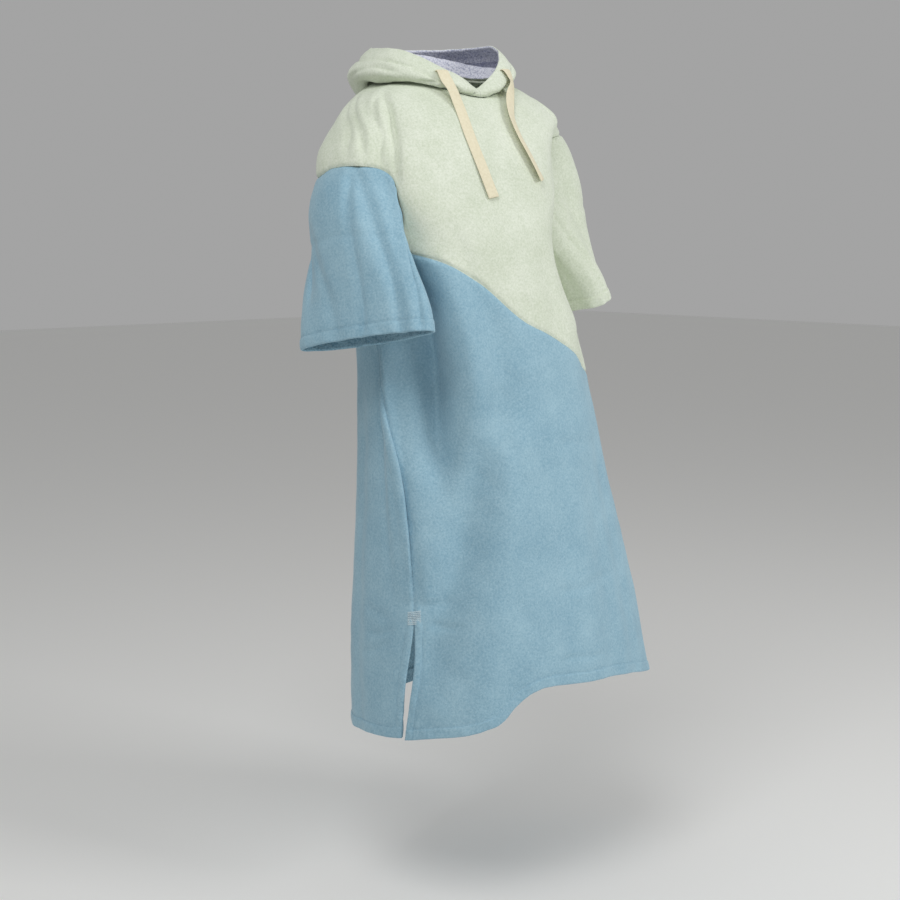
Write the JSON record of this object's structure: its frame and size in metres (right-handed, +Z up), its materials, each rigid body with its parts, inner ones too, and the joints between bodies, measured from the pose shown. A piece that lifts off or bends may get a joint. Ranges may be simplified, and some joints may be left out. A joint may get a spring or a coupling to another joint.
{
  "type": "hooded bath poncho",
  "caption": "Loose knee-length towelling poncho in its worn form, with its hood laid down, short wide sleeves, a wavy colour seam, side slits at the hem and loose drawstring ends",
  "frame": {"origin": "middle of the neck base, where the wearer's neck and shoulders carry the garment", "axes": "+Z up, the wearer faces -Y, the wearer's left is +X; the garment hangs along Z"},
  "size_m": [0.6195, 0.4447, 1.0866],
  "materials": {
    "mint_towelling": "soft matt velour",
    "blue_towelling": "soft matt velour",
    "cream_tape": "matt cotton twill"
  },
  "bodies": {
    "root": {"front_yoke": "mint_towelling", "back_yoke": "mint_towelling", "front_skirt": "blue_towelling", "back_skirt": "blue_towelling", "sleeve_right": "blue_towelling", "sleeve_left": "mint_towelling", "hood_right": "mint_towelling", "hood_left": "mint_towelling", "drawstring_right": "cream_tape", "drawstring_left": "cream_tape"}
  },
  "joints": []
}
